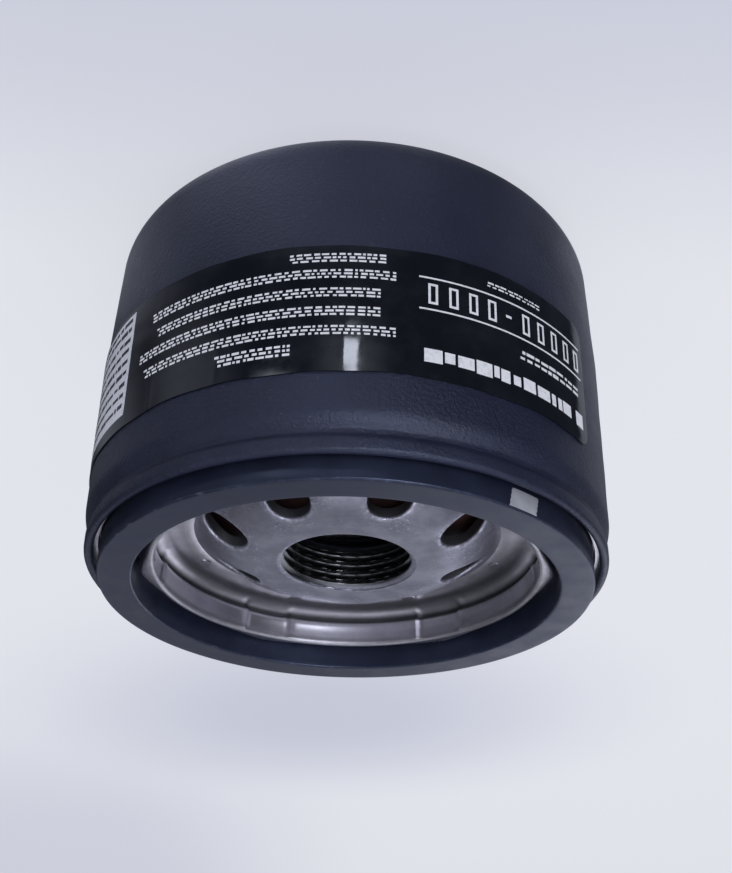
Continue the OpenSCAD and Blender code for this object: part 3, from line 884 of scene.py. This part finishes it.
def make_welds():
    """Spot welds that hold the lid's flange to the plate."""
    count, first, ring_r, foot = 8, 160, 24.0, 0.1
    sides = np.radians(np.arange(0, 360, 10))
    # Radius, and height above the sheet, from the middle of the foot round to the middle of the top
    profile = ((0, -foot), (1.15, -foot), (1.15, 0.0), (1.0, 0.02), (0.8, 0.04), (0.55, 0.025),
               (0.3, 0.015), (0.02, 0.012))
    base = FLOOR_Z + SHEET_T - 0.01
    grids = []
    for k in range(count):
        middle = math.radians(first + k * 360 / count)
        x, y = ring_r * math.cos(middle), ring_r * math.sin(middle)
        body = np.array([[(x + r * math.cos(t), y + r * math.sin(t), base + up) for t in sides]
                         for r, up in profile])
        grids.append((body, quads(*body.shape[:2]), np.zeros(body.shape[:2])))
    piece("spot_welds", joined(*grids), LID)


def gasket_wave(angle, z):
    return 0.035 * np.clip((z - GASKET_LOW) / 2, 0, 1) * waves(angle, z, 31)


def make_gasket():
    hole, outer_arc, inner_arc = 30.2, 0.32, 0.3
    outline = [(hole + 0.1, GASKET_LOW), (GASKET_R - 0.15, GASKET_LOW), (GASKET_R, GASKET_LOW + 0.2)]
    outline += [(GASKET_R, z) for z in np.linspace(GASKET_LOW + 0.2, TOP - outer_arc, 9)[1:]]
    outline += arc((GASKET_R - outer_arc, TOP - outer_arc), outer_arc, 0, 90, 8)
    outline += [(r, TOP) for r in np.linspace(GASKET_R - outer_arc, hole + inner_arc, 8)[1:-1]]
    outline += arc((hole + inner_arc, TOP - inner_arc), inner_arc, 90, 180, 8)
    outline += [(hole, z) for z in np.linspace(TOP - inner_arc, GASKET_LOW + 0.1, 8)[1:]]

    def uneven(angle, r, z):
        return r + gasket_wave(angle, z), z + 0.0 * r

    turned("gasket", tidy(outline), GASKET, shape=uneven, crease=50)


def make_gasket_mark():
    """A plain slanted dab of light paint on the gasket's outer wall."""
    share, z = np.meshgrid(np.linspace(0, 1, 24), np.linspace(TOP - 2.9, TOP - 0.28, 12))
    angle = -132.4 + 7.6 * share + 0.35 * (z - TOP + 1.5) + 0.25 * np.sin(9 * z) * (share - 0.5)
    r = GASKET_R + gasket_wave(np.radians(angle), z)
    piece("gasket_mark", slab(angle, z, r - 0.03, r + 0.02), MARK, weld=False)


def make_sealant():
    """The compound in the fold of the seam."""
    fold = SHEET_T / 2 + 0.45

    def lumps(angle, r, z):
        return r + 0.01 * waves(angle, z, 41), z + 0.015 * waves(angle, z, 42) - 0.02

    turned("seam_sealant", arc((BEAD_R - fold, BEAD_TOP - fold), 0.22, 0, 180, 10), COMPOUND, shape=lumps)


# --- Valves ---

def make_drainback_valve():
    """Rubber valve whose skirt rests on the plate's underside round the inlet holes."""
    seal_z = FLOOR_Z - PLATE_T - 0.02
    hub_in, hub_out, lip_r = COLLAR_R + 0.02, 13.4, 24.8
    path = [(hub_in, VALVE_LOW), (hub_out - 0.3, VALVE_LOW)]
    path += arc((hub_out - 0.3, VALVE_LOW + 0.3), 0.3, -90, 0, 4) + [(hub_out, VALVE_HIGH - 2.9)]
    path += arc((hub_out + 0.8, VALVE_HIGH - 3.0), 0.8, 180, 100, 5)
    path += [(16.5, VALVE_HIGH - 2.9), (18.6, VALVE_HIGH - 4.0), (20.3, seal_z - 2.0), (22, seal_z - 2.0)]
    path += [(23.4, seal_z - 1.7)] + arc((lip_r - 0.5, seal_z - 0.5), 0.5, -60, 90, 10)
    path += [(23.6, seal_z - 0.35), (22.4, seal_z - 0.8), (20.6, seal_z - 0.78), (18.8, VALVE_HIGH - 2.9)]
    path += [(16.9, VALVE_HIGH - 1.8), (hub_out + 0.6, VALVE_HIGH - 0.9), (hub_out, VALVE_HIGH - 0.5)]
    path += [(hub_out - 0.6, VALVE_HIGH), (hub_in, VALVE_HIGH)]
    valve = turned("anti_drainback_valve", split(tidy(path), 0.6), VALVE, turns=256)
    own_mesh(valve)


STEM_R, DISC_R, DISC_T = 1.7, 8.6, 0.6
SEAT_Z = CLOSED_CAP + SHEET_T
SEAT_RIM_Z = SEAT_Z + 0.9


def make_bypass_seat():
    ring_t = 0.45
    path = [(6.2, SEAT_Z), (12.8, SEAT_Z), (12.8, SEAT_Z + ring_t), (7.9, SEAT_Z + ring_t)]
    path += arc((7.5, SEAT_RIM_Z - 0.15), 0.15, 0, 90, 4) + [(6.5, SEAT_RIM_Z)]
    path += arc((6.45, SEAT_RIM_Z - 0.25), 0.25, 90, 180, 4)
    turned("bypass_valve_seat", tidy(path), TINPLATE, turns=192)


def make_bypass_poppet():
    """The disc with its stem, from the guide below the seat up to the stem's round end."""
    low, guide_arc, edge, fillet, tip = SEAL_HIGH + 0.02, 0.35, 0.2, 0.9, 0.4
    high = low + DISC_T
    path = [(0, SEAT_Z + 0.1), (2.4, SEAT_Z + 0.1)] + arc((2.4, SEAT_Z + 0.45), guide_arc, -90, 0, 5)
    path += [(3.0, SEAT_RIM_Z), (STEM_R, SEAT_RIM_Z), (STEM_R, low), (DISC_R - edge, low)]
    path += arc((DISC_R - edge, low + edge), edge, -90, 0, 4)
    path += arc((DISC_R - edge, high - edge), edge, 0, 90, 4)
    path += [(2.9, high)] + arc((STEM_R + fillet, high + fillet), fillet, 270, 180, 6)
    path += [(STEM_R, POPPET_TOP - tip)] + arc((STEM_R - tip, POPPET_TOP - tip), tip, 0, 90, 5)
    path += [(0, POPPET_TOP)]
    turned("bypass_poppet", tidy(path), TINPLATE, "bypass_valve", turns=160)


def make_bypass_seal():
    """A flat washer with round edges."""
    soft = 0.18
    left, right = STEM_R + 0.02 + soft, DISC_R - 0.2 - soft
    low, high = SEAL_LOW + soft, SEAL_HIGH - soft
    outline = []
    for centre, start in (((left, low), 180), ((right, low), 270), ((right, high), 0), ((left, high), 90)):
        outline += arc(centre, soft, start, start + 90, 4)
    turned("bypass_poppet_seal", outline, SEAL, "bypass_valve", turns=160)


def make_bypass_spring():
    spring = coil("bypass_spring", 4.5, 0.48, SPRING_LOW, SPRING_HIGH, 5.5, SPRING_STEEL)
    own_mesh(spring)


def coil(name, mean_r, wire, low, high, turns, surface):
    """A compression spring whose end turns lie closed. wire is the wire's radius."""
    steps, sides = int(turns * 48), 16
    share = np.linspace(0, 1, steps + 1)
    dead = 0.75 / turns
    rise = np.clip((share - dead) / (1 - 2 * dead), 0, 1)
    closing = 0.5 * wire * (np.clip(share / dead, 0, 1) + np.clip((share - 1 + dead) / dead, 0, 1))
    z = low + wire + closing + rise * (high - low - 3 * wire)
    turn = 2 * np.pi * turns * share[:, None]
    ring = np.linspace(0, 2 * np.pi, sides, endpoint=False)[None, :]
    r = mean_r + wire * np.cos(ring)
    points = np.stack([r * np.cos(turn), r * np.sin(turn), z[:, None] + wire * np.sin(ring)], -1)
    ends = [np.repeat(points[i].mean(0)[None, None], sides, 1) for i in (0, -1)]
    points = np.concatenate([ends[0], points, ends[1]])
    return piece(name, (points, quads(len(points), sides)[:, ::-1], np.zeros(points.shape[:2])), surface)


# --- Element ---

def make_caps():
    """The element's two end caps. way is 1 or -1, up or down from the cap's face to the paper."""
    half = SHEET_T / 2
    bend, skirt, hub_skirt = 0.7, 2.8, 2.6
    rim_r = CAP_R - half
    for name, level, way, hole in (("outlet_end_cap", OUTLET_CAP - half, -1, 10.6),
                                   ("closed_end_cap", CLOSED_CAP + half, 1, 7.8)):
        path = [(hole, level)]
        if name == "outlet_end_cap":
            path = [(hole, level + way * hub_skirt), (hole, level + way * 0.6), (hole + 0.6, level)]
        path += [(rim_r - bend, level)] + arc((rim_r - bend, level + way * bend), bend, -90 * way, 0, 6)
        path += [(rim_r, level + way * skirt)]
        turned(name, sheet(path, SHEET_T), TINPLATE, turns=256)


GLUE_T = 0.75


def make_adhesive():
    """Glue between the paper and the caps, with a slightly uneven skin on its free side."""
    inner, outer = 13.42, CAP_R - SHEET_T - 0.02
    for name, low, way in (("outlet_adhesive", OUTLET_CAP - SHEET_T - GLUE_T, -1),
                           ("closed_adhesive", CLOSED_CAP + SHEET_T, 1)):
        high = low + GLUE_T
        outline = split([(inner, low), (outer, low), (outer, high), (inner, high), (inner, low)], 0.9)[:-1]
        free = high if way > 0 else low

        def pooled(angle, r, z, free=free, way=way):
            skin = np.abs(z - free) < 1e-6
            return r, z + np.where(skin, way * 0.08 * (waves(angle, r, 51) - 1), 0)

        turned(name, outline, COMPOUND, turns=256, shape=pooled)


def pleat_path(inner, outer, pleats):
    """The middle of the folded paper, with a rounded fold at each end of a pleat."""
    inner_fold, outer_fold = -0.32, 0.55
    path = []
    for k in range(2 * pleats):
        reach, fold = ((inner - inner_fold, inner_fold), (outer - outer_fold, outer_fold))[k % 2]
        a = k * math.pi / pleats
        for g in np.radians(np.linspace(-90, 90, 7)):
            x, y = reach + fold * math.cos(g), abs(fold) * math.sin(g)
            path.append((x * math.cos(a) - y * math.sin(a), x * math.sin(a) + y * math.cos(a)))
    return np.array(path)


def make_media():
    """Pleated paper with rounded folds. Its joined ends stand in the fold at angle 0."""
    half, inner, outer, fin_r = 0.25, 14.2, 32.3, 31.0
    low, high = CLOSED_CAP + SHEET_T + GLUE_T, OUTLET_CAP - SHEET_T - GLUE_T
    p = pleat_path(inner + half, outer - half, 50)
    offset = sideways(p, closed=True)[0] * half
    rows = np.linspace(low, high, 9)
    stacks = [(p - offset, z) for z in rows] + [(p + offset, z) for z in rows[::-1]]
    grid = np.array([np.column_stack([side, np.full(len(p), z)]) for side, z in stacks])
    folded = (grid, quads(len(grid), len(p), wrap_rows=True), np.zeros(grid.shape[:2]))
    corners = [(x, y, z) for y in (-half, half) for z in (low, high) for x in (inner + half, fin_r)]
    sides = [(0, 1, 3, 2), (4, 6, 7, 5), (0, 4, 5, 1), (2, 3, 7, 6), (0, 2, 6, 4), (1, 5, 7, 3)]
    piece("pleated_media", joined(folded, (corners, sides, np.zeros(8))), PAPER, weld=False)


def dress_cad_nodes():
    """CAD nodes whose shape is right keep it, and get their material."""
    dressed = {"center_tube": TINPLATE, "media_seam_clip": TINPLATE, "bypass_cage": TINPLATE,
               "support_spring": SPRING_STEEL}
    for node, surface in dressed.items():
        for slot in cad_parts[node].material_slots:
            slot.link = "OBJECT"
            slot.material = surface.material


# --- Stage ---

def stage_piece(name, mesh, surface, reflections_only=False):
    """A piece of the stage. With reflections_only it is seen only in glossy surfaces."""
    mesh.materials.append(surface.material)
    obj = placed(name, mesh)
    if reflections_only:
        obj.visible_camera = obj.visible_diffuse = obj.visible_shadow = obj.visible_transmission = False
    return obj


def flat_square(half, level):
    mesh = bpy.data.meshes.new("square")
    corners = [(-half, -half, level), (half, -half, level), (half, half, level), (-half, half, level)]
    mesh.from_pydata([Vector(c) * MM for c in corners], [], [(0, 1, 2, 3)])
    return mesh


def reflected(name):
    """A surface that gives light but reflects none."""
    return Surface(name, "floor", roughness=1.0, base_color=(0, 0, 0, 1), specular_ior_level=0.0)


def glow(surface, colour, strength):
    """Makes a surface give light of its own."""
    surface.set("Emission Color", colour)
    surface.set("Emission Strength", strength)


def make_floor():
    """Pale floor that gives most of its light itself, so that shadows on it stay faint. A painted shadow
    lies behind the can, and painted shade darkens the near side and the far +X side.
    """
    s = Surface("floor", "floor", roughness=0.8, specular_ior_level=0.1, base_color=(0.14, 0.14, 0.15, 1))
    # Painted shadow behind the can, and painted shade on the near side and on the far +X side
    painted_shadow_behind = s.times(s.spot((4, 225, 0), 10, 120), 0.85)
    painted_near_shade = s.times(s.along(1, 0, -70), 0.75)
    left = s.times(s.along(1, 150, 400), s.along(0, -20, 100), 0.55)
    shade = s.math("ADD", s.plus(painted_shadow_behind, painted_near_shade), left, clamp=True)
    glow(s, s.mix(shade, (0.635, 0.645, 0.69), (0.40, 0.42, 0.51)), 1.0)
    stage_piece("floor", flat_square(6000, -0.02), s)


FLOOR_LIGHTS = (  # x, y, inner and outer radius, strength
    (2, -106, 4, 30, 1.3),
    (54, -106, 8, 25, 6.0),
    (22, -37, 4, 24, 0.5),
    (6, -44, 14, 34, 0.4),
    (45, -10, 4, 34, 0.45),
    (-34, -24, 4, 24, 0.25),
    (92, -54, 8, 46, 0.7),
    (103, 22, 10, 50, 0.35),
    (0, 260, 120, 260, 0.12),
)


def make_floor_reflection():
    """What glossy surfaces see of the floor: dark, but lighter beyond a slanting line and in soft spots."""
    s = reflected("floor_reflection")
    x, y = s.xyz()[:2]
    past_line = s.plus(y, s.times(x, 0.55), 38 * MM)
    beyond = s.times(s.step(past_line, -2 * MM, 4 * MM), s.along(0, -10, -40),
                     s.between(s.step(past_line, 10 * MM, 70 * MM), 0.55, 0.18))
    light = s.plus(beyond, 0.045)
    for place_x, place_y, inner, outer, strength in FLOOR_LIGHTS:
        light = s.plus(light, s.times(s.spot((place_x, place_y, 0), inner, outer), strength))
    # A narrow window that shows as a bright strip in the label
    strip = s.times(s.step(s.math("ABSOLUTE", x), 3.4 * MM, 2.0 * MM),
                    s.step(s.math("ABSOLUTE", s.plus(y, 98.5 * MM)), 12 * MM, 5 * MM))
    light = s.plus(light, s.times(strip, 21.0))
    glow(s, (0.80, 0.85, 1.0, 1.0), light)
    stage_piece("floor_reflection", flat_square(5000, -0.01), s, reflections_only=True)


ROOM_LIGHTS = (  # azimuth, elevation, inner and outer half-angle in degrees, strength
    (-114, 66, 8, 34, 0.5),
    (-109, 15, 6, 18, 14.0),
    (-90, 80, 14, 34, 0.9),
    (118, 20, 8, 32, 1.35),
    (68, 20, 6, 24, 0.45),
    (-35, 10, 8, 34, 0.9),
    (-160, 45, 10, 30, 0.6),
)


def make_room():
    """What glossy surfaces see above the floor: a dim room with a few soft windows."""
    s = reflected("room_reflection")
    heading = s.vector_math("NORMALIZE", s.place).outputs[0]
    light = 0.12
    for azimuth, elevation, inner, outer, strength in ROOM_LIGHTS:
        a, e, inner, outer = np.radians((azimuth, elevation, inner, outer))
        middle = (math.cos(a) * math.cos(e), math.sin(a) * math.cos(e), math.sin(e))
        facing = s.vector_math("DOT_PRODUCT", heading, middle).outputs["Value"]
        light = s.plus(s.times(s.step(facing, math.cos(outer), math.cos(inner)), strength), light)
    glow(s, (0.86, 0.88, 1.0, 1.0), light)
    bm = bmesh.new()
    bmesh.ops.create_uvsphere(bm, u_segments=48, v_segments=24, radius=4500 * MM)
    mesh = bpy.data.meshes.new("room_reflection")
    bm.to_mesh(mesh)
    bm.free()
    stage_piece("room_reflection", mesh, s, reflections_only=True)


def area_light(name, place, target, size, power, colour):
    """A soft area light that only lights matt surfaces. The room's windows stand for it in glossy ones."""
    data = bpy.data.lights.new(name, "AREA")
    data.shape = "RECTANGLE"
    data.size, data.size_y = size[0] * MM, size[1] * MM
    data.energy, data.color = power, colour
    obj = placed(name, data)
    obj.location = Vector(place) * MM
    obj.rotation_mode = "QUATERNION"
    obj.rotation_quaternion = (Vector(target) - Vector(place)).to_track_quat("-Z", "Y")
    obj.visible_glossy = False


def make_lights():
    world = bpy.data.worlds.new("room")
    bpy.context.scene.world = world
    world.use_nodes = True
    background = world.node_tree.nodes["Background"]
    background.inputs["Color"].default_value = (0.66, 0.68, 0.76, 1)
    background.inputs["Strength"].default_value = 0.9
    middle = (0, 0, 40)
    area_light("overhead", (-120, 60, 620), middle, (500, 400), 1.2, (1.0, 0.99, 1.0))
    area_light("front_window", (-90, -520, 300), middle, (300, 300), 0.8, (0.96, 0.98, 1.0))


def make_camera():
    """The photograph's viewpoint, solved from the rings of the can, gasket and bore.

    The photograph is upside down, so the camera is rolled by about half a turn.
    """
    distance, elevation = 180.131, math.radians(22.9356)
    pan, tilt, roll = np.radians((-0.71087, -7.21714, 178.42575))
    sensor, focal_length = 36, 1257.35 / 873  # in millimetres, and in heights of the picture
    right, up = Vector((1, 0, 0)), Vector((0, math.sin(elevation), math.cos(elevation)))
    ahead = Vector((0, math.cos(elevation), -math.sin(elevation)))

    def turned_by(angle, a, b):
        return math.cos(angle) * a - math.sin(angle) * b, math.sin(angle) * a + math.cos(angle) * b

    right, ahead = turned_by(pan, right, ahead)
    up, ahead = turned_by(tilt, up, ahead)
    x, y = turned_by(roll, right, up)
    data = bpy.data.cameras.new("camera")
    data.sensor_width, data.lens = sensor, sensor * focal_length
    data.clip_start, data.clip_end = 0.005, 50
    camera = placed("camera", data)
    place = Vector((0, -distance * math.cos(elevation), TOP + distance * math.sin(elevation))) * MM
    camera.matrix_world = Matrix.Translation(place) @ Matrix((x, y, -ahead)).transposed().to_4x4()
    bpy.context.scene.camera = camera


for make in (make_shell, make_label, make_print, make_plate, make_lid, make_welds, make_gasket,
             make_gasket_mark, make_sealant, make_drainback_valve, make_bypass_seat,
             make_bypass_poppet, make_bypass_seal, make_bypass_spring, make_caps, make_adhesive,
             make_media, dress_cad_nodes, make_floor, make_floor_reflection, make_room, make_lights,
             make_camera):
    make()
bpy.context.scene.view_settings.view_transform = "Standard"
